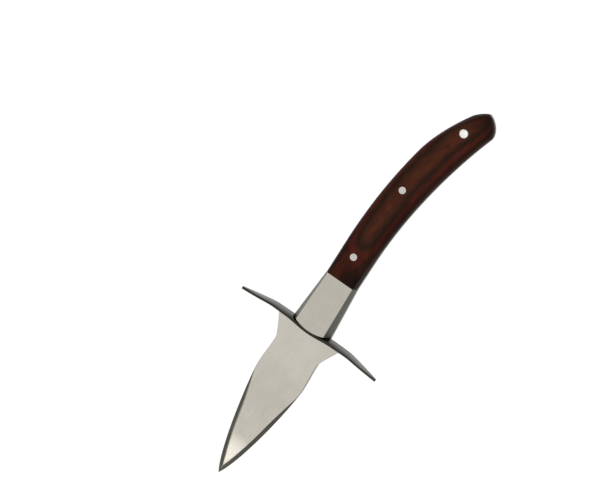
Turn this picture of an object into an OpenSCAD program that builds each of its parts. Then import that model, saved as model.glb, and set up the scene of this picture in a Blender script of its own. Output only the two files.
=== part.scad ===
// Oyster knife: a leaf blade on a full tang, an oval guard, steel bolsters and wood scales.
// X runs along the knife with the tip at +X, Y across it and Z up out of its flat side.
// The knife lies flat. Places along it are counted from the rear face of the guard.

/* [Blade] */
// Length of the blade in front of the guard
blade_len = 75; // [66:1:90]
// Width of the blade at its widest
blade_w = 22.5; // [21:0.1:28]
// Distance from the guard to the widest place
belly_at = 24; // [18:0.2:32]
// Width of the blade at its waist
waist_w = 21.4; // [17:0.1:22]
// Distance from the guard to the waist
waist_at = 10.4; // [8:0.2:16]
// Width of the shoulders that bear on the guard
shoulder_w = 31.4; // [25:0.2:36]
// Thickness of the blade and the tang
blade_thk = 3.2; // [2.4:0.1:4]
// Thickness of the blade at its tip
tip_thk = 1.2; // [0.8:0.1:2]
// Length over which the blade thins towards its tip
taper_len = 17; // [8:1:40]
// Full width of the bevel ground along each edge
edge_w = 1.75; // [0.6:0.05:2.5]
// Distance from the guard to where the bevels start
edge_from = 26.4; // [18:0.2:36]
// Length over which the bevels grow to their full width
edge_grow_len = 20.6; // [5:0.2:28]
// Thickness left at the ground edge
edge_thk = 0.6; // [0.3:0.1:1]
// Broken corner along the edges that are not ground
edge_break = 0.15; // [0.1:0.05:0.3]

/* [Guard] */
// Width of the guard over its arms
guard_span = 69; // [56:1:84]
// Height of the guard along its arms, before they narrow to their tips
guard_h = 8.4; // [6:0.2:10]
// Height that the middle of the guard stands above and below its arms
guard_rise = 1.3; // [0:0.1:2]
// Height left at the tips of the arms
guard_tip_h = 0.8; // [0.4:0.1:2]
// Thickness of the guard's plate
guard_thk = 1.2; // [0.8:0.1:2]
// Broken corner along the guard's edge
guard_edge = 0.2; // [0.05:0.05:0.35]
// How far the middle of the plate is dished towards the blade
guard_dish = 0.5; // [0:0.1:1]
// Distance across the dished middle, which also stands up
guard_dish_w = 24; // [20:0.5:30]
// Distance from the middle to the bend in each arm
arm_bend_at = 19.3; // [18:0.1:24]
// Length of the bend in each arm
arm_bend_len = 4; // [1:0.5:5]
// Angle at which each arm leans towards the blade past its bend
arm_angle = 8.3; // [0:0.1:20]

/* [Bolsters] */
// Length of the bolsters behind the guard
bolster_len = 25; // [18:1:34]
// Width of the tang and bolsters at the guard
collar_w = 18.6; // [16:0.1:22]
// Width of the bolsters where the wood starts
neck_w = 14.9; // [13:0.1:17]
// How far each side leans in from the tang to the flat at the guard
lean_front = 2.2; // [0.5:0.05:2.5]
// How far each side leans in from the tang to the flat at the wood
lean_rear = 1.1; // [0.5:0.05:2]
// Radius of the rounded nose that touches the middle of the guard
nose_r = 18; // [12:0.1:30]

/* [Handle] */
// Thickness of the handle over its scales and bolsters
handle_thk = 12; // [10:0.5:15]
// Length of the wood along its curved middle line
wood_len = 92.6; // [80:0.2:110]
// Length of wood before the handle starts to curve
straight_len = 13.5; // [5:0.5:30]
// Radius of the curve towards the butt
curve_r = 215; // [150:5:400]
// Width of the handle at its fullest
grip_w = 16.2; // [15:0.1:18]
// Distance from the bolsters to the fullest place
grip_at = 70; // [40:1:76]
// Share of the back edge's half width that is gone at the butt
heel_cut = 0.67; // [0.2:0.01:0.7]
// Length over which the back edge narrows towards the butt
heel_len = 30; // [14:1:36]
// Length of the round at the butt
butt_round = 6; // [4:0.2:9]

/* [Pins] */
// Diameter of the pins through the scales
pin_d = 3; // [2.4:0.1:4]
// Distance of the front pin behind the guard
front_pin_at = 36.6; // [31:0.2:44]
// Distance of the middle pin behind the guard
middle_pin_at = 70.9; // [60:0.2:84]
// How far the front pin sits beside the middle line, towards the back edge
front_pin_side = 0.6; // [0:0.1:2]
// How far the middle pin sits beside the middle line, towards the back edge
middle_pin_side = 1.1; // [0:0.1:2.4]
// Diameter of the blind dowels inside the bolsters
dowel_d = 3; // [2:0.1:4]
// Steel left over each blind dowel
dowel_cover = 2; // [1:0.1:3]
// Distance of the front dowel behind the guard
front_dowel_at = 7.5; // [6:0.5:10]
// Distance of the rear dowel in front of the wood
rear_dowel_at = 6; // [4:0.5:9]

/* [Lanyard tube] */
// Outer diameter of the tube
tube_d = 3.7; // [3:0.1:5]
// Wall of the tube
tube_wall = 0.3; // [0.2:0.05:0.6]
// Distance of the tube from the butt, along the middle line
tube_at = 12.6; // [10:0.2:20]
// How far the tube sits beside the middle line, towards the back edge
tube_side = 0.4; // [0:0.1:2]

/* [Fit] */
// Gap on each side of the tang in the guard's slot
slot_gap = 0.1; // [0.05:0.05:0.3]

/* [Hidden] */
$fn = 96;

steel = [0.77, 0.75, 0.70];
dark_steel = [0.50, 0.50, 0.47];
wood = [0.30, 0.14, 0.10];

// Steps along each stretch of the blade's outline and of the wood
flare_steps = 8;
waist_steps = 6;
leaf_steps = 30;
wood_steps = 30;
butt_steps = 12;
corner_steps = 6;
guard_steps = 48;
// Powers that shape the flare at the guard, the leaf, the butt, the heel and the guard's arms
flare_power = 1.15;
leaf_power = [1.35, 0.765];
butt_power = 1.8;
heel_power = 1.6;
arm_power = 3.2;
// Power that crowds the sections of the leaf towards its tip
tip_crowding = 1.6;
// Half widths of the outline's last point, at the tip and at the butt
tip_half = 0.3;
butt_start = 0.15;
// Most of the half width that a bevel may take near the tip, and a leaning side near the butt
bevel_share = 0.85;
narrow_share = 0.4;
// How much of the flat and the side the rounded corner of the wood takes, at the bolster and beyond
corner_share = [0.1, 0.72];
corner_len = 22;
// Overlap that joins the tang to the blade, and the thin slices of a hull
joint_lap = 2;
slice = 0.01;

half_thk = handle_thk / 2;
tang_half = blade_thk / 2;
bevel_slope = (blade_thk - edge_thk) / 2 / edge_w;

function mix(a, b, t) = a + (b - a) * t;
function bend2(a, b, c, t) = mix(mix(a, b, t), mix(b, c, t), t);
// Share that grows from 0 to 1 and is level at both ends
function swell(t) = (1 - cos(180 * t)) / 2;

// Half width of the blade at a distance from the guard's front face
function flare_half(d) = mix(waist_w, shoulder_w, pow((waist_at - d) / waist_at, flare_power)) / 2;
function waist_half(d) = mix(waist_w, blade_w, swell((d - waist_at) / (belly_at - waist_at))) / 2;
function leaf_share(d) = (d - belly_at) / (blade_len - belly_at);
function leaf_fall(d) = pow(1 - pow(leaf_share(d), leaf_power[0]), leaf_power[1]);
function leaf_half(d) = max(tip_half, blade_w / 2 * leaf_fall(d));
function blade_half(d) = d <= waist_at ? flare_half(d) : d <= belly_at ? waist_half(d) : leaf_half(d);

// Half thickness of the blade, width of its bevel and half thickness at its edge
function blade_z(d) = min(blade_thk, mix(tip_thk, blade_thk, (blade_len - d) / taper_len)) / 2;
function bevel_grown(d) = d <= edge_from ? 0 : edge_w * sin(90 * min(1, (d - edge_from) / edge_grow_len));
function bevel_w(d) = min(max(edge_break, bevel_grown(d)), bevel_share * blade_half(d));
function edge_z(d) = max(edge_thk / 2, blade_z(d) - bevel_w(d) * bevel_slope);

blade_stops = concat(
    [for (i = [0:flare_steps - 1]) waist_at * i / flare_steps],
    [for (i = [0:waist_steps - 1]) mix(waist_at, belly_at, i / waist_steps)],
    [for (i = [0:leaf_steps]) mix(belly_at, blade_len, 1 - pow(1 - i / leaf_steps, tip_crowding))]
);

// Section of the blade: w to the edge, f to the flat, e and z half as thick there
function blade_ring(d) = let (
        x = guard_thk + d,
        w = blade_half(d),
        f = w - bevel_w(d),
        z = blade_z(d),
        e = edge_z(d)
    ) [[x, w, e], [x, w, -e], [x, f, -z], [x, -f, -z],
        [x, -w, -e], [x, -w, e], [x, -f, z], [x, f, z]];

// Middle line of the wood: straight, then an arc towards +Y. It returns [x, y, heading angle].
function turn(s) = max(0, s - straight_len) / curve_r * 180 / PI;
function middle(s) = let (a = turn(s))
    [-bolster_len - min(s, straight_len) - curve_r * sin(a), curve_r * (1 - cos(a)), a];
function beside(s, q) = let (m = middle(s)) [m[0] + q * sin(m[2]), m[1] + q * cos(m[2])];
// Place along the middle line that lies at a distance behind the guard
function s_at(d) = d - bolster_len <= straight_len ? d - bolster_len
    : straight_len + curve_r * asin((d - bolster_len - straight_len) / curve_r) * PI / 180;

// Half widths of the wood: the front edge lies at +Y and the back edge at -Y
function grip_half(s) = mix(neck_w, grip_w, swell(min(1, s / grip_at))) / 2;
function butt_share(s, len) = let (d = min(1, (wood_len - s) / len))
    pow(1 - pow(1 - d, butt_power), 1 / butt_power);
function heel_share(s) = 1 - heel_cut * pow(max(0, 1 - (wood_len - s) / heel_len), heel_power);
function front_half(s) = grip_half(s) * butt_share(s, butt_round);
function back_half(s) = grip_half(s) * heel_share(s) * butt_share(s, butt_round);

wood_stops = concat(
    [for (i = [0:wood_steps - 1]) (wood_len - butt_round) * i / wood_steps],
    [for (i = [0:butt_steps]) wood_len - butt_round + (butt_round - butt_start) * sin(90 * i / butt_steps)]
);
wood_outline = concat(
    [for (s = wood_stops) beside(s, front_half(s))],
    [for (i = [len(wood_stops) - 1:-1:0]) beside(wood_stops[i], -back_half(wood_stops[i]))]
);

// Top of the wood over the tang, and one side of its section from the tang to its crown
function crown(s) = tang_half + (half_thk - tang_half) * butt_share(s, butt_round);
function section(s, w) = let (
        z = crown(s),
        foot = [w, tang_half],
        corner = [w - min(lean_rear, narrow_share * w), z],
        k = mix(corner_share[0], corner_share[1], min(1, s / corner_len)),
        low = mix(corner, foot, k),
        high = mix(corner, [0, z], k)
    ) concat([foot], [for (j = [0:corner_steps]) bend2(low, corner, high, j / corner_steps)]);
function wood_ring(s) = let (front = section(s, front_half(s)), back = section(s, back_half(s)))
    concat(
        [for (p = front) concat(beside(s, p[0]), p[1])],
        [for (j = [len(back) - 1:-1:0]) concat(beside(s, -back[j][0]), back[j][1])]
    );

// Outline of the room that the guard takes in front of the blade's shoulders
guard_seat = let (w = shoulder_w / 2 + guard_thk, n = guard_steps) concat(
    [for (i = [0:n]) let (q = mix(-w, w, i / n)) [guard_thk + guard_dish * dish_share(q), q]],
    [[-guard_thk, w], [-guard_thk, -w]]
);

butt_x = min([for (p = wood_outline) p[0]]);
middle_x = (guard_thk + blade_len + butt_x) / 2;
front_pin = beside(s_at(front_pin_at), -front_pin_side);
middle_pin = beside(s_at(middle_pin_at), -middle_pin_side);
tube = beside(wood_len - tube_at, -tube_side);
front_dowel = [-front_dowel_at, 0];
rear_dowel = [-bolster_len + rear_dowel_at, 0];
dowel_len = handle_thk - 2 * dowel_cover;

// Moves the origin to the middle of the knife's box, on the surface that it lies on
module set_down() translate([-middle_x, 0, half_thk]) children();

// Closed solid through rings of points, which all run the same way round
module loft(rings) {
    n = len(rings[0]);
    last = len(rings) - 1;
    points = [for (r = rings) each r];
    sides = [for (i = [0:last - 1], j = [0:n - 1]) let (a = i * n + j, b = i * n + (j + 1) % n)
        each [[a, b, a + n], [b, b + n, a + n]]];
    first_cap = [for (j = [1:n - 2]) [0, j + 1, j]];
    last_cap = [for (j = [1:n - 2]) [last * n, last * n + j, last * n + j + 1]];
    polyhedron(points, concat(sides, first_cap, last_cap));
}

// Round bar through the knife, square to its flat, at a point
module bar(at, d, len) translate([at[0], at[1], -len / 2]) cylinder(d = d, h = len);

// Cutters for what passes through the tang and the scales
module handle_bores() {
    bar(front_pin, pin_d, 2 * handle_thk);
    bar(middle_pin, pin_d, 2 * handle_thk);
    bar(tube, tube_d, 2 * handle_thk);
}
module dowel_bores() {
    bar(front_dowel, dowel_d, dowel_len);
    bar(rear_dowel, dowel_d, dowel_len);
}

module tang_plate() linear_extrude(blade_thk, center = true) polygon(concat(
    [[guard_thk + joint_lap, -collar_w / 2], [guard_thk + joint_lap, collar_w / 2], [0, collar_w / 2]],
    wood_outline,
    [[0, -collar_w / 2]]
));

module blade() color(steel) set_down() difference() {
    union() {
        difference() {
            loft([for (d = blade_stops) blade_ring(d)]);
            linear_extrude(2 * blade_thk, center = true) polygon(guard_seat);
        }
        tang_plate();
    }
    handle_bores();
    dowel_bores();
}

// Where the rear face of the guard lies, at a distance from the middle: dished there, and bent in each arm
function dish_share(q) = swell(max(0, 1 - 2 * abs(q) / guard_dish_w));
function past_bend(q) = let (t = abs(q) - arm_bend_at + arm_bend_len / 2)
    t <= 0 ? 0 : t < arm_bend_len ? t * t / 2 / arm_bend_len : t - arm_bend_len / 2;
function guard_x(q) = guard_dish * dish_share(q) + tan(arm_angle) * past_bend(q);

// Half height of the guard: an oval with pointed tips, which stands up in the middle
function arm_share(q) = 1 - pow(2 * abs(q) / guard_span, arm_power);
function guard_half(q) = mix(guard_tip_h, guard_h, arm_share(q)) / 2 + guard_rise * dish_share(q);

function guard_ring(q) = let (
        x = guard_x(q),
        f = x + guard_thk,
        h = guard_half(q),
        e = min(guard_edge, narrow_share * h),
        k = h - e
    ) [[x + e, q, -h], [f - e, q, -h], [f, q, -k], [f, q, k],
        [f - e, q, h], [x + e, q, h], [x, q, k], [x, q, -k]];

module guard() color(dark_steel) set_down() difference() {
    loft([for (i = [0:guard_steps]) guard_ring(guard_span * (0.5 - i / guard_steps))]);
    cube([4 * guard_thk, collar_w + 2 * slot_gap, blade_thk + 2 * slot_gap], center = true);
}

// Plan of a bolster at one height: its sides lean in by these amounts and its nose is round
module bolster_plan(front_lean, rear_lean) intersection() {
    polygon([
        [guard_dish, collar_w / 2 - front_lean],
        [guard_dish, front_lean - collar_w / 2],
        [-bolster_len, rear_lean - neck_w / 2],
        [-bolster_len, neck_w / 2 - rear_lean]
    ]);
    translate([guard_dish - nose_r, 0]) union() {
        circle(r = nose_r);
        translate([-bolster_len - guard_dish, -nose_r]) square([bolster_len + guard_dish, 2 * nose_r]);
    }
}

module bolster_solid() difference() {
    hull() {
        translate([0, 0, tang_half]) linear_extrude(slice) bolster_plan(0, 0);
        translate([0, 0, half_thk - slice]) linear_extrude(slice) bolster_plan(lean_front, lean_rear);
    }
    dowel_bores();
}

module scale_solid() difference() {
    loft([for (s = wood_stops) wood_ring(s)]);
    handle_bores();
}

module bolster_top() color(steel) set_down() bolster_solid();
module bolster_bottom() color(steel) set_down() mirror([0, 0, 1]) bolster_solid();
module scale_top() color(wood) set_down() scale_solid();
module scale_bottom() color(wood) set_down() mirror([0, 0, 1]) scale_solid();

module dowel_front() color(steel) set_down() bar(front_dowel, dowel_d, dowel_len);
module dowel_rear() color(steel) set_down() bar(rear_dowel, dowel_d, dowel_len);
module pin_front() color(steel) set_down() bar(front_pin, pin_d, handle_thk);
module pin_middle() color(steel) set_down() bar(middle_pin, pin_d, handle_thk);
module lanyard_tube() color(steel) set_down() difference() {
    bar(tube, tube_d, handle_thk);
    bar(tube, tube_d - 2 * tube_wall, 2 * handle_thk);
}

blade();
guard();
bolster_top();
bolster_bottom();
scale_top();
scale_bottom();
dowel_front();
dowel_rear();
pin_front();
pin_middle();
lanyard_tube();
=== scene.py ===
"""The looks of an oyster knife: leaf blade, bent guard, steel bolsters and laminated wood scales.

Blender's lengths are metres, +X runs to the blade's tip, +Y across the knife and +Z up from its flat.
The sizes below are millimetres, measured from the guard's rear face, the knife's middle line and the
tang's mid-plane.
"""

import math

import bmesh
import bpy
from mathutils import Matrix, Quaternion, Vector


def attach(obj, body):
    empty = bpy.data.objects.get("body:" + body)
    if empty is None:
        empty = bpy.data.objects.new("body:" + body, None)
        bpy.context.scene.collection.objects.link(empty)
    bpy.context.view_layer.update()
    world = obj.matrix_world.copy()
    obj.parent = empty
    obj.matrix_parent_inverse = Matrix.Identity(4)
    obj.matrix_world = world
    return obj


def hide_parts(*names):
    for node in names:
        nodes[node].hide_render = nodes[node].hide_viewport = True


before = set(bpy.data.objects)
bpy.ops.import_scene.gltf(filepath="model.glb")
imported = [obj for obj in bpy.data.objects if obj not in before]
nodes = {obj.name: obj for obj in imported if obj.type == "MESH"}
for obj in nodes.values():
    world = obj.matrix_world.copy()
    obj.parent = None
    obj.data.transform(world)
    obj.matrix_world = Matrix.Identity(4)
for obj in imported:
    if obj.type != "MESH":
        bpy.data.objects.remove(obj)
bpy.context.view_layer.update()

MM = 0.001

# Blade
BLADE_LEN, BLADE_W, BELLY_AT = 75.0, 22.5, 24.0
WAIST_W, WAIST_AT, SHOULDER_W, FLARE_POWER = 21.4, 10.4, 31.4, 1.15
LEAF_POWERS, TIP_HALF = (1.35, 0.765), 0.3
BLADE_THK, TIP_THK = 3.2, 1.2
EDGE_W, EDGE_FROM, EDGE_GROW_LEN, EDGE_THK, EDGE_BREAK, BEVEL_SHARE = 1.75, 26.4, 20.6, 0.6, 0.15, 0.95
# Guard
GUARD_SPAN, GUARD_H, GUARD_TIP_H, GUARD_RISE, GUARD_THK, GUARD_EDGE = 69.0, 8.4, 0.8, 1.3, 1.2, 0.2
GUARD_DISH, DISH_W, BEND_AT, BEND_LEN, ARM_ANGLE, ARM_POWER = 0.5, 24.0, 19.3, 4.0, math.radians(8.3), 3.2
# Bolsters
BOLSTER_LEN, COLLAR_W, NECK_W, LEAN_FRONT, LEAN_REAR, NOSE_R = 25.0, 18.6, 14.9, 2.2, 1.1, 18.0
# Wood
HANDLE_THK, WOOD_LEN, STRAIGHT_LEN, CURVE_R = 12.0, 92.6, 13.5, 215.0
GRIP_W, GRIP_AT, HEEL_CUT, HEEL_LEN, HEEL_POWER = 16.2, 70.0, 0.67, 30.0, 1.6
BUTT_ROUND, BUTT_POWER, BUTT_START, NARROW_SHARE = 6.0, 1.8, 0.15, 0.4
CORNER_FRONT, CORNER_REST, CORNER_LEN = 0.1, 0.72, 22.0
# Pins and lanyard tube
PIN_D, FRONT_PIN, MIDDLE_PIN = 3.0, (-36.6, -0.6), (-71.0658, 1.36788)
TUBE_D, TUBE_WALL, TUBE = 3.7, 0.3, (-104.066, 9.82156)
# Small depths that the plain solids leave out
BACK_RIM, FRONT_RIM = 0.5, 0.3   # widths of the polished-over rims between the flat and the bevels
RIM_FALL = 0.1           # fall of those rims
SOFT_TAPER_LEN, TAPER_POWER = 19.5, 1.5      # the thinning towards the tip starts softly
TAPER_SKEW = 3.0         # it starts this much sooner at the back edge than at the front edge
SHOULDER_EASE = (0.5, 0.25)      # length and fall of the broken corner where the shoulders meet the guard
WOOD_SINK = 0.06         # the wood is sanded this far below the pins and bolsters
PIN_CROWN = 0.03         # height that each pin's end is domed
ARRIS = 0.3              # rounding on the bolsters' edges
# Steps that each curve is drawn in
FLARE_STEPS, BELLY_STEPS, LEAF_STEPS, GUARD_STEPS, NOSE_STEPS = 12, 12, 72, 120, 32
HANDLE_STEPS, BUTT_STEPS, CORNER_STEPS, CIRCLE_STEPS = 90, 24, 12, 64
LEAF_CROWDING = 1.6      # how much closer the leaf's steps come towards the tip

HALF_THK = HANDLE_THK / 2
TANG_HALF = BLADE_THK / 2
MIDDLE_X = -19.8304
BEVEL_SLOPE = (BLADE_THK - EDGE_THK) / 2 / EDGE_W


def mix(a, b, t):
    """The value a share t of the way from a to b."""
    return a + (b - a) * t


def swell(t):
    """Share that grows from 0 to 1 and is level at both ends."""
    return (1 - math.cos(math.pi * t)) / 2


def at(x, y, z):
    """Point of the shared frame, in metres."""
    return Vector((x - MIDDLE_X, y, z + HALF_THK)) * MM


# Shaping tools

def loft(bm, rings):
    """Draws a solid out through rings of points: its end face is extruded and laid on each ring in turn."""
    end = bm.faces.new([bm.verts.new(point) for point in rings[0]])
    for ring in rings[1:]:
        drawn = bmesh.ops.extrude_face_region(bm, geom=[end, *end.edges, *end.verts])["geom"]
        end = next(part for part in drawn if isinstance(part, bmesh.types.BMFace))
        for vert, point in zip(end.verts, ring):
            vert.co = point
    bmesh.ops.recalc_face_normals(bm, faces=bm.faces)
    return end


def soften(bm, sharp_deg=28, level=2.0):
    """Shades the faces smooth, apart from level flats, and keeps each edge that bends more than this."""
    bm.normal_update()
    for face in bm.faces:
        face.smooth = abs(face.normal.z) < level
    for edge in bm.edges:
        edge.smooth = edge.calc_face_angle(0) < math.radians(sharp_deg)


def to_object(name, bm):
    """Puts a mesh into the scene as an object."""
    mesh = bpy.data.meshes.new(name)
    bm.to_mesh(mesh)
    bm.free()
    thing = bpy.data.objects.new(name, mesh)
    bpy.context.scene.collection.objects.link(thing)
    return thing


def to_piece(name, bm, materials, slot, *replaced):
    """Piece from a mesh, riding on the knife in place of the named plain solids."""
    piece = to_object(name, bm)
    for material in materials:
        piece.data.materials.append(material)
    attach(piece, "root")
    if replaced:
        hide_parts(*replaced)
    return piece


def turned(profile, x, y):
    """Solid of revolution about an upright axis, from a profile of radius and height."""
    bm = bmesh.new()
    verts = [bm.verts.new(at(x + r, y, z)) for r, z in profile]
    edges = [bm.edges.new(pair) for pair in zip(verts, verts[1:])]
    bmesh.ops.spin(bm, geom=verts + edges, cent=at(x, y, 0), axis=(0, 0, 1), angle=2 * math.pi,
                   steps=CIRCLE_STEPS, use_merge=True)
    bmesh.ops.remove_doubles(bm, verts=bm.verts, dist=1e-6)
    bmesh.ops.recalc_face_normals(bm, faces=bm.faces)
    return bm


def bored(solid, x, y, d):
    """The solid with a round hole down through it."""
    drill = bmesh.new()
    bmesh.ops.create_cone(drill, cap_ends=True, segments=CIRCLE_STEPS, radius1=d / 2 * MM,
                          radius2=d / 2 * MM, depth=2 * HANDLE_THK * MM,
                          matrix=Matrix.Translation(at(x, y, 0)))
    block, bit = to_object("block", solid), to_object("bit", drill)
    bore = block.modifiers.new("bore", "BOOLEAN")
    bore.operation = "DIFFERENCE"
    bore.solver = "EXACT"
    bore.object = bit
    bpy.context.view_layer.update()
    result = bmesh.new()
    result.from_object(block, bpy.context.evaluated_depsgraph_get())
    bpy.data.objects.remove(block)
    bpy.data.objects.remove(bit)
    return result


# Materials

def linear(hex_colour):
    """Linear RGBA of an sRGB hex colour."""
    channels = [int(hex_colour[i:i + 2], 16) / 255 for i in (1, 3, 5)]
    return [c / 12.92 if c <= 0.04045 else ((c + 0.055) / 1.055) ** 2.4 for c in channels] + [1.0]


def add_node(tree, kind, settings=None, **links):
    """Adds a shader node. Settings set its properties, and links set its sockets or join them."""
    node = tree.nodes.new(kind)
    for name, value in (settings or {}).items():
        setattr(node, name, value)
    for name, value in links.items():
        socket = node.inputs[int(name[1:])] if name[1:].isdigit() else node.inputs[name.replace("_", " ")]
        if isinstance(value, bpy.types.NodeSocket):
            tree.links.new(value, socket)
        else:
            socket.default_value = value
    return node


def new_material(name):
    """Empty material with its shader and the object's own coordinates in metres."""
    material = bpy.data.materials.new(name)
    material.use_nodes = True
    tree = material.node_tree
    tree.nodes.clear()
    shader = add_node(tree, "ShaderNodeBsdfPrincipled")
    output = add_node(tree, "ShaderNodeOutputMaterial")
    tree.links.new(shader.outputs[0], output.inputs[0])
    place = add_node(tree, "ShaderNodeTexCoord").outputs["Object"]
    return material, tree, shader, place


def paint(ramp_node, stops):
    """Sets a colour ramp's stops from a list of position and hex colour."""
    ramp = ramp_node.color_ramp
    while len(ramp.elements) < len(stops):
        ramp.elements.new(0.5)
    for element, (position, colour) in zip(ramp.elements, stops):
        element.position = position
        element.color = linear(colour)


def steel(name, colour, shade, roughness, line_mm, stretch, mottle_mm=8.0, relief=0.1, painted_shading=None):
    """Stainless steel in two tones: grinding lines this far apart, stretched one way, over a slow mottle.

    Painted light or shade can be given, which dims or lifts the tone between two distances from the object's
    middle. It gives the axis, the two distances in millimetres and the share of the tone at each.
    """
    material, tree, shader, place = new_material(name)
    lie = add_node(tree, "ShaderNodeMapping", i0=place, Scale=stretch)
    lines = add_node(tree, "ShaderNodeTexNoise", Vector=lie.outputs[0], Scale=1 / (line_mm * MM),
                     Detail=3.0, Roughness=0.6)
    mottle = add_node(tree, "ShaderNodeTexNoise", Vector=place, Scale=1 / (mottle_mm * MM),
                      Detail=4.0, Roughness=0.6)
    blend = add_node(tree, "ShaderNodeMix", {"data_type": "FLOAT"}, i0=0.45, i2=mottle.outputs[0],
                     i3=lines.outputs[0])
    spread = add_node(tree, "ShaderNodeMapRange", Value=blend.outputs[0], i1=0.3, i2=0.7)
    tone = add_node(tree, "ShaderNodeMix", {"data_type": "RGBA"}, Factor=spread.outputs[0],
                    i6=linear(shade), i7=linear(colour)).outputs[2]
    # Painted light or shade: the tone is scaled by the distance from the object's middle
    if painted_shading:
        axis, near_mm, far_mm, near_share, far_share = painted_shading
        split = add_node(tree, "ShaderNodeSeparateXYZ", i0=place)
        distance = add_node(tree, "ShaderNodeMath", {"operation": "ABSOLUTE"}, i0=split.outputs[axis])
        share = add_node(tree, "ShaderNodeMapRange", Value=distance.outputs[0], i1=near_mm * MM,
                         i2=far_mm * MM, i3=near_share, i4=far_share)
        tone = add_node(tree, "ShaderNodeVectorMath", {"operation": "SCALE"}, i0=tone,
                        Scale=share.outputs[0]).outputs[0]
    matt = add_node(tree, "ShaderNodeMapRange", Value=lines.outputs[0], i3=roughness - 0.06,
                    i4=roughness + 0.06)
    bump = add_node(tree, "ShaderNodeBump", Strength=relief, Distance=0.02 * MM, Height=lines.outputs[0])
    tree.links.new(tone, shader.inputs["Base Color"])
    tree.links.new(matt.outputs[0], shader.inputs["Roughness"])
    tree.links.new(bump.outputs[0], shader.inputs["Normal"])
    shader.inputs["Metallic"].default_value = 1.0
    return material


def laminated_wood():
    """Dyed veneers pressed into one block, cut to shape, sanded and waxed.

    The cut through the curved stack shows long dark and red bands that loop round near the bolster, with
    fine fibres along them and a low sheen. The fibres are drawn coarser than the real 0.2 mm so that they
    show. Places are read from the grain attribute, in millimetres.
    """
    material, tree, shader, _ = new_material("waxed_laminated_wood")
    lie = add_node(tree, "ShaderNodeAttribute", {"attribute_name": "grain"})
    along, across, height = add_node(tree, "ShaderNodeSeparateXYZ", i0=lie.outputs["Vector"]).outputs
    # Depth of the cut into the stack of veneers. It grows to both sides of the core.
    from_core = add_node(tree, "ShaderNodeMath", {"operation": "ADD"}, i0=across, i1=0.3)
    front_rise = add_node(tree, "ShaderNodeMapRange", Value=along, i1=36.0, i2=52.0, i3=1.14, i4=1.22)
    front_side = add_node(tree, "ShaderNodeMath", {"operation": "MULTIPLY"}, i0=from_core.outputs[0],
                          i1=front_rise.outputs[0])
    back_rise = add_node(tree, "ShaderNodeMapRange", Value=along, i1=25.0, i2=50.0, i3=-1.08, i4=-0.84)
    back_side = add_node(tree, "ShaderNodeMath", {"operation": "MULTIPLY"}, i0=from_core.outputs[0],
                         i1=back_rise.outputs[0])
    outward = add_node(tree, "ShaderNodeMath", {"operation": "MAXIMUM"}, i0=front_side.outputs[0],
                       i1=back_side.outputs[0])
    # It also grows towards the bolster, where the bands loop round the core and lean.
    loop_end = add_node(tree, "ShaderNodeMapRange", {"interpolation_type": "SMOOTHSTEP"}, Value=along,
                        i1=11.0, i2=27.0, i3=6.8, i4=0.0)
    neck_end = add_node(tree, "ShaderNodeMapRange", Value=along, i1=0.0, i2=10.0, i3=1.5, i4=0.0)
    forward = add_node(tree, "ShaderNodeMath", {"operation": "ADD"}, i0=loop_end.outputs[0],
                       i1=neck_end.outputs[0])
    aside = add_node(tree, "ShaderNodeCombineXYZ", X=outward.outputs[0], Y=forward.outputs[0])
    loop = add_node(tree, "ShaderNodeVectorMath", {"operation": "LENGTH"}, i0=aside.outputs[0])
    lean = add_node(tree, "ShaderNodeMapRange", Value=along, i1=0.0, i2=11.0, i3=0.42, i4=0.0)
    skewed = add_node(tree, "ShaderNodeMath", {"operation": "MULTIPLY_ADD"}, i0=across, i1=lean.outputs[0],
                      i2=loop.outputs["Value"])
    # It grows down from the crown too, and slow waves in the veneers shift it.
    down = add_node(tree, "ShaderNodeMapRange", {"clamp": False}, Value=height, i1=0.0, i2=HALF_THK,
                    i3=0.5 * HALF_THK, i4=0.0)
    slow = add_node(tree, "ShaderNodeMapping", i0=lie.outputs["Vector"], Scale=(0.35, 1, 1))
    waves = add_node(tree, "ShaderNodeTexNoise", Vector=slow.outputs[0], Scale=1 / 5.0, Detail=3.0,
                     Roughness=0.55)
    wavy = add_node(tree, "ShaderNodeMapRange", Value=waves.outputs[0], i1=0.25, i2=0.75, i3=-0.8, i4=0.8)
    sunk = add_node(tree, "ShaderNodeMath", {"operation": "ADD"}, i0=skewed.outputs[0], i1=down.outputs[0])
    depth = add_node(tree, "ShaderNodeMath", {"operation": "ADD"}, i0=sunk.outputs[0], i1=wavy.outputs[0])
    # Colour of the veneers over 12 mm of the stack
    share = add_node(tree, "ShaderNodeMath", {"operation": "DIVIDE"}, i0=depth.outputs[0], i1=12.0)
    bands = add_node(tree, "ShaderNodeValToRGB", i0=share.outputs[0])
    paint(bands, [(0.0, "#4C2617"), (0.13, "#472316"), (0.25, "#392015"), (0.35, "#2D1A10"),
                  (0.42, "#331C12"), (0.48, "#421E14"), (0.53, "#4A1C13"), (0.60, "#441C12"),
                  (0.67, "#38190F"), (0.74, "#2B160E"), (0.80, "#30180F"), (0.86, "#28150E"),
                  (0.93, "#2F170F"), (1.0, "#23130D")])
    # Fibres along the grain and slower patches
    fibres_lie = add_node(tree, "ShaderNodeMapping", i0=lie.outputs["Vector"], Scale=(0.16, 1, 1))
    fibres = add_node(tree, "ShaderNodeTexNoise", Vector=fibres_lie.outputs[0], Scale=1 / 0.75, Detail=4.0,
                      Roughness=0.7)
    patches = add_node(tree, "ShaderNodeTexNoise", Vector=slow.outputs[0], Scale=1 / 1.6, Detail=2.0)
    fibre_shade = add_node(tree, "ShaderNodeMapRange", Value=fibres.outputs[0], i1=0.25, i2=0.75, i3=0.72,
                           i4=1.28)
    patch_shade = add_node(tree, "ShaderNodeMapRange", Value=patches.outputs[0], i1=0.25, i2=0.75, i3=0.76,
                           i4=1.26)
    mottled = add_node(tree, "ShaderNodeMath", {"operation": "MULTIPLY"}, i0=fibre_shade.outputs[0],
                       i1=patch_shade.outputs[0])
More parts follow.
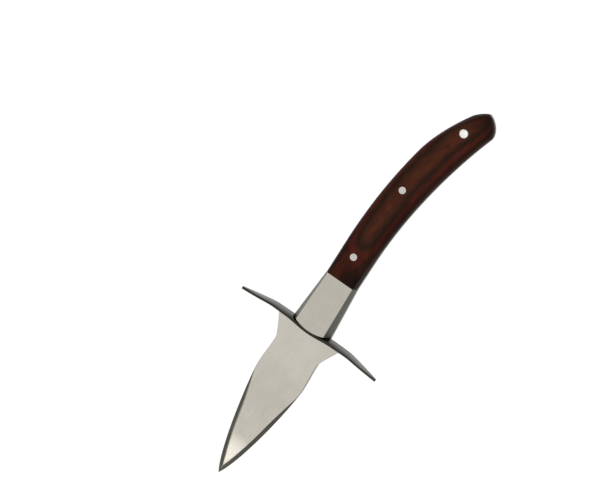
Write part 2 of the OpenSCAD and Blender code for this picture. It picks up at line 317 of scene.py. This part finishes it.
    # Dulled strip along the front edge, from the loop to the grip
    front_edge = add_node(tree, "ShaderNodeMapRange", Value=across, i1=2.5, i2=4.0, i3=0.0, i4=0.35)
    till_grip = add_node(tree, "ShaderNodeMapRange", Value=along, i1=38.0, i2=50.0, i3=1.0, i4=0.0)
    past_loop = add_node(tree, "ShaderNodeMapRange", Value=along, i1=18.0, i2=24.0, i3=0.0, i4=1.0)
    strip = add_node(tree, "ShaderNodeMath", {"operation": "MULTIPLY"}, i0=till_grip.outputs[0],
                     i1=past_loop.outputs[0])
    dulled = add_node(tree, "ShaderNodeMath", {"operation": "MULTIPLY"}, i0=front_edge.outputs[0],
                      i1=strip.outputs[0])
    # Darker wood at the front corner beside the bolster, and painted shade towards the rounded butt
    front_corner = add_node(tree, "ShaderNodeMapRange", Value=across, i1=-2.6, i2=-0.6, i3=0.0, i4=0.45)
    at_bolster = add_node(tree, "ShaderNodeMapRange", Value=along, i1=3.5, i2=10.0, i3=1.0, i4=0.0)
    by_bolster_darker = add_node(tree, "ShaderNodeMath", {"operation": "MULTIPLY"}, i0=front_corner.outputs[0],
                       i1=at_bolster.outputs[0])
    # Painted shade: the wood darkens from 80 mm along to the butt's end
    butt_painted_shade = add_node(tree, "ShaderNodeMapRange", {"interpolation_type": "SMOOTHSTEP"}, Value=along,
                         i1=80.0, i2=93.0, i3=0.0, i4=0.65)
    bolster_and_butt_darker = add_node(tree, "ShaderNodeMath", {"operation": "ADD"}, i0=by_bolster_darker.outputs[0],
                      i1=butt_painted_shade.outputs[0])
    darker = add_node(tree, "ShaderNodeMath", {"operation": "ADD"}, i0=dulled.outputs[0],
                      i1=bolster_and_butt_darker.outputs[0])
    kept = add_node(tree, "ShaderNodeMath", {"operation": "SUBTRACT"}, i0=1.0, i1=darker.outputs[0])
    shade = add_node(tree, "ShaderNodeMath", {"operation": "MULTIPLY"}, i0=mottled.outputs[0],
                     i1=kept.outputs[0])
    tone = add_node(tree, "ShaderNodeVectorMath", {"operation": "SCALE"}, i0=bands.outputs[0],
                    Scale=shade.outputs[0])
    matt = add_node(tree, "ShaderNodeMapRange", Value=fibres.outputs[0], i3=0.42, i4=0.62)
    bump = add_node(tree, "ShaderNodeBump", Strength=0.15, Distance=0.03 * MM, Height=fibres.outputs[0])
    tree.links.new(tone.outputs[0], shader.inputs["Base Color"])
    tree.links.new(matt.outputs[0], shader.inputs["Roughness"])
    tree.links.new(bump.outputs[0], shader.inputs["Normal"])
    shader.inputs["Specular IOR Level"].default_value = 0.06
    return material


# Flats of stainless strip, belt-finished along the knife: warm pale grey with soft, lengthwise reflections.
# The lines of all the ground steels are drawn coarser than the real 0.1 mm so that they show.
flat_steel = steel("satin_stainless_flat", "#CDC8BD", "#C0BBB0", 0.22, 0.5, (0.06, 1, 1))
# The same finish on the blade, with painted light that brightens its tone beside the guard
blade_steel = steel("satin_stainless_blade_painted_light", "#CDC8BD", "#C0BBB0", 0.22, 0.5, (0.06, 1, 1),
                    painted_shading=("X", 38, 53, 1.12, 1.0))
# Rims beside the bevels, rounded over by the buff: painted shade on the back one, a painted highlight on the
# front
rim_steel_painted_shade = steel("buffed_rim_painted_shade", "#A5A298", "#95928A", 0.32, 0.5, (0.1, 1, 1))
rim_steel_painted_highlight = steel("buffed_rim_painted_highlight", "#DFDBD1", "#D8D3C8", 0.25, 0.5, (0.1, 1, 1))
# Bevels ground across the blade on a stone: a matt band along each edge, whose dark grey is a painted dark
# reflection
bevel_steel_painted_dark = steel("stone_ground_bevel_painted_dark", "#6C6A60", "#5C5A51", 0.38, 0.5, (1, 0.15, 1))
# Sides ground with the handle on a belt: matt, with upright lines, in a dark grey that is a painted dark
# reflection
side_steel_painted_dark = steel("belt_ground_side_painted_dark", "#62615B", "#55544E", 0.42, 0.5, (1, 1, 0.1))
# Guard pressed from rolled sheet: a mid grey face with a blurred sheen, darkened by painted shade towards
# the bolsters, and a near-black matt cut edge
guard_steel = steel("rolled_sheet_face_painted_shade", "#7C7B76", "#696763", 0.40, 0.6, (1, 0.1, 1),
                    painted_shading=("Y", 10, 25, 0.45, 1.0))
cut_steel = steel("stamped_sheet_edge", "#45453F", "#383833", 0.50, 0.4, (0.2, 1, 1), relief=0.2)
# Tang faces under the wood, in a painted shade of dark brown: a dark line where a joint shows
tang_steel_painted_shade = steel("tang_painted_shade", "#3A342C", "#26221D", 0.60, 0.6, (1, 1, 1))
# Nickel silver rod, sanded level with the wood and buffed: small pale discs
pin_steel = steel("polished_nickel_silver", "#DAD6CE", "#CFCBC3", 0.24, 0.4, (1, 1, 1), 3.0, 0.05)
# Thin drawn tube with a bright lip: a white ring round the lanyard hole
tube_steel = steel("drawn_bright_tube", "#F2F0EC", "#E8E6E1", 0.10, 0.4, (1, 1, 0.1), 3.0, 0.02)
wood = laminated_wood()


# Blade and tang

def blade_half(d):
    """Half width of the blade at a distance from the guard's front face: flare, waist, belly and leaf."""
    if d <= WAIST_AT:
        return mix(WAIST_W, SHOULDER_W, ((WAIST_AT - d) / WAIST_AT) ** FLARE_POWER) / 2
    if d <= BELLY_AT:
        return mix(WAIST_W, BLADE_W, swell((d - WAIST_AT) / (BELLY_AT - WAIST_AT))) / 2
    share = min(1.0, (d - BELLY_AT) / (BLADE_LEN - BELLY_AT))
    return max(TIP_HALF, BLADE_W / 2 * (1 - share ** LEAF_POWERS[0]) ** LEAF_POWERS[1])


def bevel_w(d):
    """Width of the bevel along each edge, which grows from the belly towards the tip."""
    grown = EDGE_W * math.sin(math.pi / 2 * min(1, (d - EDGE_FROM) / EDGE_GROW_LEN)) if d > EDGE_FROM else 0
    return min(max(EDGE_BREAK, grown), BEVEL_SHARE * blade_half(d))


def half_thickness(d):
    """Half thickness of the blade: even, apart from the shoulders' broken corner and the thin tip."""
    thinned = max(0, 1 - (BLADE_LEN - d) / SOFT_TAPER_LEN) ** TAPER_POWER
    corner = max(0, 1 - d / SHOULDER_EASE[0]) * SHOULDER_EASE[1]
    return mix(BLADE_THK, TIP_THK, thinned) / 2 - corner


def blade_ring(d):
    """Section of the blade: flat in the middle, with a soft rim and a ground bevel down to each edge."""
    w, bevel = blade_half(d), bevel_w(d)
    skew = TAPER_SKEW / 2 * min(1, w / BLADE_W * 2) if d > BELLY_AT else 0
    z_back, z_front = half_thickness(d + skew), half_thickness(d - skew)
    f, z = w - bevel, min(z_back, z_front)
    e = max(EDGE_THK / 2, z - bevel * BEVEL_SLOPE)
    rim = min(1, bevel / EDGE_W)
    back, front = min(BACK_RIM * rim, f / 3), min(FRONT_RIM * rim, f / 3)
    low_back, low_front = max(e, z_back - RIM_FALL * rim), max(e, z_front - RIM_FALL * rim)
    upper = [(-w, e), (-f, low_back), (back - f, z_back), (f - front, z_front), (f, low_front), (w, e)]
    corners = upper + [(y, -height) for y, height in reversed(upper)]
    return [at(GUARD_THK + d, y, height) for y, height in corners]


def middle(s):
    """Middle line of the wood: straight, then an arc towards +Y, with its heading."""
    a = max(0, s - STRAIGHT_LEN) / CURVE_R
    return (-BOLSTER_LEN - min(s, STRAIGHT_LEN) - CURVE_R * math.sin(a), CURVE_R * (1 - math.cos(a)), a)


def beside(s, q):
    """Point at a distance along the middle line, and this far to its +Y side."""
    x, y, a = middle(s)
    return x + q * math.sin(a), y + q * math.cos(a)


def butt_share(s):
    """Share of the wood's width that the rounding of the butt leaves."""
    d = min(1, (WOOD_LEN - s) / BUTT_ROUND)
    return (1 - (1 - d) ** BUTT_POWER) ** (1 / BUTT_POWER)


def front_half(s):
    """Half width of the wood to +Y, which grows from the neck to the grip."""
    return mix(NECK_W, GRIP_W, swell(min(1, s / GRIP_AT))) / 2 * butt_share(s)


def back_half(s):
    """Half width of the wood to -Y, where the heel is cut away towards the butt."""
    return front_half(s) * (1 - HEEL_CUT * max(0, 1 - (WOOD_LEN - s) / HEEL_LEN) ** HEEL_POWER)


# Distances of the sections, closer together where the outline bends more
blade_stops = [0.0]
blade_stops += [mix(SHOULDER_EASE[0], WAIST_AT, i / FLARE_STEPS) for i in range(FLARE_STEPS)]
blade_stops += [mix(WAIST_AT, BELLY_AT, i / BELLY_STEPS) for i in range(BELLY_STEPS)]
blade_stops += [mix(BELLY_AT, BLADE_LEN, 1 - (1 - i / LEAF_STEPS) ** LEAF_CROWDING)
                for i in range(LEAF_STEPS + 1)]
wood_stops = [(WOOD_LEN - BUTT_ROUND) * i / HANDLE_STEPS for i in range(HANDLE_STEPS)]
wood_stops += [WOOD_LEN - BUTT_ROUND + (BUTT_ROUND - BUTT_START) * math.sin(math.pi / 2 * i / BUTT_STEPS)
               for i in range(BUTT_STEPS + 1)]

FLAT, BEVEL, SIDE, GAP, SHADE_PAINTED_RIM, HIGHLIGHT_PAINTED_RIM = range(6)      # material slots of the blade


def blade_slot(face):
    """Material slot of a face of the blade, by its place and its slope."""
    spot = face.calc_center_median() / MM
    d = spot.x + MIDDLE_X - GUARD_THK
    if d > EDGE_FROM:
        to_edge = blade_half(d) - abs(spot.y)
        if to_edge < bevel_w(d):
            return BEVEL
        # The rim at the back edge takes painted shade, the one at the front a painted highlight
        rim = (BACK_RIM if spot.y < 0 else FRONT_RIM) * min(1, bevel_w(d) / EDGE_W)
        if to_edge < bevel_w(d) + rim:
            return SHADE_PAINTED_RIM if spot.y < 0 else HIGHLIGHT_PAINTED_RIM
    elif d > 0 and abs(face.normal.z) < 0.5:
        return SIDE
    # The shoulders' broken corner takes the painted highlight too
    elif 0 < d < SHOULDER_EASE[0]:
        return HIGHLIGHT_PAINTED_RIM
    return FLAT


bm = bmesh.new()
loft(bm, [blade_ring(d) for d in blade_stops])
for face in bm.faces:
    face.material_index = blade_slot(face)
tang_front = [(GUARD_THK, -COLLAR_W / 2), (GUARD_THK, COLLAR_W / 2), (0, COLLAR_W / 2)]
tang_outline = tang_front + [beside(s, front_half(s)) for s in wood_stops]
tang_outline += [beside(s, -back_half(s)) for s in reversed(wood_stops)] + [(0, -COLLAR_W / 2)]
tang = bmesh.new()
loft(tang, [[at(x, y, z) for x, y in tang_outline] for z in (-TANG_HALF, TANG_HALF)])
tang = bored(tang, *TUBE, TUBE_D)
for face in tang.faces:
    # Tang flats take the painted shade; its edges take the side steel with its painted dark reflection
    face.material_index = GAP if abs(face.normal.z) > 0.5 else SIDE
tang = to_object("tang", tang)
bm.from_mesh(tang.data)
bpy.data.objects.remove(tang)
soften(bm, 6)
blade_materials = [blade_steel, bevel_steel_painted_dark, side_steel_painted_dark, tang_steel_painted_shade, rim_steel_painted_shade, rim_steel_painted_highlight]
to_piece("leaf_blade", bm, blade_materials, "blade_steel", "blade")


# Guard

def dish_share(q):
    """Share of the dish, and of the rise over it, at a distance from the guard's middle."""
    return swell(max(0, 1 - 2 * abs(q) / DISH_W))


def guard_ring(q):
    """Section of the guard: a thin plate, dished in the middle, with its arms bent to the blade."""
    t = abs(q) - BEND_AT + BEND_LEN / 2
    past_bend = 0 if t <= 0 else t * t / 2 / BEND_LEN if t < BEND_LEN else t - BEND_LEN / 2
    x = GUARD_DISH * dish_share(q) + math.tan(ARM_ANGLE) * past_bend
    f = x + GUARD_THK
    h = mix(GUARD_TIP_H, GUARD_H, 1 - (2 * abs(q) / GUARD_SPAN) ** ARM_POWER) / 2
    h += GUARD_RISE * dish_share(q)
    e = min(GUARD_EDGE, NARROW_SHARE * h)
    k = h - e
    corners = [(x + e, -h), (f - e, -h), (f, -k), (f, k), (f - e, h), (x + e, h), (x, k), (x, -k)]
    return [at(px, q, pz) for px, pz in corners]


bm = bmesh.new()
loft(bm, [guard_ring(GUARD_SPAN * (0.5 - i / GUARD_STEPS)) for i in range(GUARD_STEPS + 1)])
for face in bm.faces:
    face.material_index = 1 if abs(face.normal.z) > 0.8 or abs(face.normal.y) > 0.8 else 0
soften(bm, 50)
to_piece("bent_guard", bm, [guard_steel, cut_steel], "guard_steel", "guard")


# Bolsters

def bolster_ring(front_w, rear_w, z):
    """Plan of a bolster at one height: a round nose between straight sides."""
    def nose_x(y):
        return GUARD_DISH - NOSE_R + math.sqrt(NOSE_R ** 2 - y * y)

    corner = front_w
    for _ in range(8):
        corner = mix(front_w, rear_w, (GUARD_DISH - nose_x(corner)) / (GUARD_DISH + BOLSTER_LEN))
    across = [mix(-corner, corner, i / NOSE_STEPS) for i in range(NOSE_STEPS + 1)]
    plan = [(nose_x(y), y) for y in across] + [(-BOLSTER_LEN, rear_w), (-BOLSTER_LEN, -rear_w)]
    return [at(x, y, z) for x, y in plan]


def bolster(name, side, replaced):
    """Slab that leans in from foot to crown. Its upper edges are rounded, apart from the one at the wood."""
    bm = bmesh.new()
    foot = bolster_ring(COLLAR_W / 2, NECK_W / 2, side * TANG_HALF)
    crown = bolster_ring(COLLAR_W / 2 - LEAN_FRONT, NECK_W / 2 - LEAN_REAR, side * HALF_THK)
    top = loft(bm, [foot, crown])
    rear = at(-BOLSTER_LEN, 0, 0).x
    rims = [edge for edge in top.edges if any(vert.co.x > rear + 1e-6 for vert in edge.verts)]
    bmesh.ops.bevel(bm, geom=rims, offset=ARRIS * MM, offset_type="OFFSET", segments=3, profile=0.5,
                    affect="EDGES", material=-1)
    for face in bm.faces:
        # Crowns and rounded edges take the flat steel, the leaning walls the side steel with its painted
        # dark reflection
        face.material_index = 0 if abs(face.normal.z) > 0.7 else 1
    soften(bm, level=0.999)
    return to_piece(name, bm, [flat_steel, side_steel_painted_dark], "bolster_steel", replaced)


bolster("bolster_upper", 1, "bolster_top")
bolster("bolster_lower", -1, "bolster_bottom")


# Scales

def wood_ring(s, side):
    """Section of a scale: its side stands on the tang and rounds over to a flat crown."""
    z = mix(TANG_HALF, HALF_THK - WOOD_SINK, butt_share(s))

    def half_section(w):
        foot, crown = Vector((w, TANG_HALF)), Vector((0, z))
        corner = Vector((w - min(LEAN_REAR, NARROW_SHARE * w), z))
        k = mix(CORNER_FRONT, CORNER_REST, min(1, s / CORNER_LEN))
        low, high = corner.lerp(foot, k), corner.lerp(crown, k)
        steps = [j / CORNER_STEPS for j in range(CORNER_STEPS + 1)]
        return [foot] + [low.lerp(corner, t).lerp(corner.lerp(high, t), t) for t in steps]

    front, back = half_section(front_half(s)), half_section(back_half(s))
    ring = [(*beside(s, p.x), p.y) for p in front] + [(*beside(s, -p.x), p.y) for p in reversed(back)]
    return [at(x, y, side * z) for x, y, z in ring]


def lay_grain(mesh):
    """Stores each point's place in mm: along the wood, across it and up from the tang's mid-plane."""
    grain = mesh.attributes.new("grain", "FLOAT_VECTOR", "POINT")
    arc_x = -BOLSTER_LEN - STRAIGHT_LEN
    for vert, value in zip(mesh.vertices, grain.data):
        x, y, z = vert.co.x / MM + MIDDLE_X, vert.co.y / MM, vert.co.z / MM - HALF_THK
        if x > arc_x:
            value.vector = (-BOLSTER_LEN - x, y, abs(z))
        else:
            value.vector = (STRAIGHT_LEN + CURVE_R * math.atan2(arc_x - x, CURVE_R - y),
                            CURVE_R - math.hypot(arc_x - x, CURVE_R - y), abs(z))


def scale(name, side, replaced):
    """Slab of wood with the tube's hole through it."""
    bm = bmesh.new()
    loft(bm, [wood_ring(s, side) for s in wood_stops])
    bm = bored(bm, *TUBE, TUBE_D)
    soften(bm, 40)
    piece = to_piece(name, bm, [wood], "scale_wood", replaced)
    lay_grain(piece.data)


scale("scale_upper", 1, "scale_top")
scale("scale_lower", -1, "scale_bottom")


# Pins and tube

def pin(name, spot, replaced):
    """Rod through the handle, slightly domed at both ends."""
    r, rim = PIN_D / 2, HALF_THK - PIN_CROWN
    dome = [(0, HALF_THK), (0.5 * r, HALF_THK - 0.2 * PIN_CROWN), (0.85 * r, HALF_THK - 0.65 * PIN_CROWN),
            (r, rim)]
    bm = turned(dome + [(radius, -z) for radius, z in reversed(dome)], *spot)
    soften(bm)
    to_piece(name, bm, [pin_steel], "pin_steel", replaced)


pin("pin_near_bolster", FRONT_PIN, "pin_front")
pin("pin_in_grip", MIDDLE_PIN, "pin_middle")
lip = TUBE_WALL / 3
outer, inner = TUBE_D / 2, TUBE_D / 2 - TUBE_WALL
lips = [(inner, HALF_THK - lip), (inner + lip, HALF_THK), (outer - lip, HALF_THK), (outer, HALF_THK - lip)]
bm = turned(lips + [(radius, -z) for radius, z in reversed(lips)] + lips[:1], *TUBE)
soften(bm)
to_piece("lanyard_lining", bm, [tube_steel], "pin_steel", "lanyard_tube")

# The dowels are hidden in the bolsters, so they stay the plain solids
for name in ("dowel_front", "dowel_rear"):
    nodes[name].data.materials.clear()
    nodes[name].data.materials.append(pin_steel)


# Camera, at the photograph's viewing angle
CAMERA_AT = Vector((-0.15667, 0.09113, 0.64979))
AIM_AT = Vector((-0.00801, -0.01996, 0.006))
CAMERA_ROLL = math.radians(-109.616)
LENS_MM = 93.5

camera = bpy.data.objects.new("camera", bpy.data.cameras.new("camera"))
camera.data.lens = LENS_MM
camera.data.sensor_width = 36
camera.data.clip_start = 0.05
camera.location = CAMERA_AT
camera.rotation_mode = "QUATERNION"
aim = (AIM_AT - CAMERA_AT).to_track_quat("-Z", "Y")
camera.rotation_quaternion = aim @ Quaternion((0, 0, 1), CAMERA_ROLL)
bpy.context.scene.collection.objects.link(camera)
bpy.context.scene.camera = camera
bpy.context.scene.view_settings.view_transform = "Standard"

# Floor: white paper to the camera and in the steel, with the knife's soft shadow
FLOOR_SIZE, FLOOR_GLOW = 6, 0.92         # metres across, and the light that it sends to the camera

bpy.ops.mesh.primitive_plane_add(size=FLOOR_SIZE)
floor = bpy.context.object
floor.name = "floor"
floor_material, tree, shader, _ = new_material("white_paper_sweep")
shader.inputs["Base Color"].default_value = (0.2, 0.2, 0.2, 1)
shader.inputs["Roughness"].default_value = 0.9
shader.inputs["Specular IOR Level"].default_value = 0
seen = add_node(tree, "ShaderNodeLightPath")
direct = add_node(tree, "ShaderNodeMath", {"operation": "MAXIMUM"}, i0=seen.outputs["Is Camera Ray"],
                  i1=seen.outputs["Is Transmission Ray"])
mirrored = add_node(tree, "ShaderNodeMath", {"operation": "MAXIMUM"}, i0=direct.outputs[0],
                    i1=seen.outputs["Is Glossy Ray"])
glow = add_node(tree, "ShaderNodeMath", {"operation": "MULTIPLY"}, i0=mirrored.outputs[0], i1=FLOOR_GLOW)
tree.links.new(glow.outputs[0], shader.inputs["Emission Strength"])
shader.inputs["Emission Color"].default_value = (1, 1, 1, 1)
floor.data.materials.append(floor_material)

# World and lamps: a light tent, bright overhead and dimmer to the horizon
world = bpy.data.worlds.new("studio")
world.use_nodes = True
bpy.context.scene.world = world
tree = world.node_tree
tree.nodes.clear()
seen = add_node(tree, "ShaderNodeLightPath")
up = add_node(tree, "ShaderNodeSeparateXYZ", i0=add_node(tree, "ShaderNodeTexCoord").outputs["Generated"])
tent = add_node(tree, "ShaderNodeMapRange", {"interpolation_type": "SMOOTHSTEP"}, Value=up.outputs[2],
                i1=0.0, i2=0.9, i3=0.4, i4=0.85)
strength = add_node(tree, "ShaderNodeMix", {"data_type": "FLOAT"}, i0=seen.outputs["Is Camera Ray"],
                    i2=tent.outputs[0], i3=1.0)
sky = add_node(tree, "ShaderNodeBackground", Color=(1, 1, 1, 1), Strength=strength.outputs[0])
add_node(tree, "ShaderNodeOutputWorld", Surface=sky.outputs[0])


def softbox(name, at_point, size, radiance):
    """Square lamp that looks at the knife and mirrors as an even white patch."""
    lamp = bpy.data.objects.new(name, bpy.data.lights.new(name, "AREA"))
    lamp.data.size = size
    lamp.data.energy = radiance * math.pi * size * size
    lamp.location = at_point
    lamp.rotation_mode = "QUATERNION"
    lamp.rotation_quaternion = (-Vector(at_point)).to_track_quat("-Z", "Y")
    lamp.visible_camera = False
    bpy.context.scene.collection.objects.link(lamp)


softbox("softbox_left", (-0.7, 0.75, 0.75), 0.6, 1.6)
softbox("softbox_tip", (0.62, -0.19, 1.03), 0.14, 2.2)
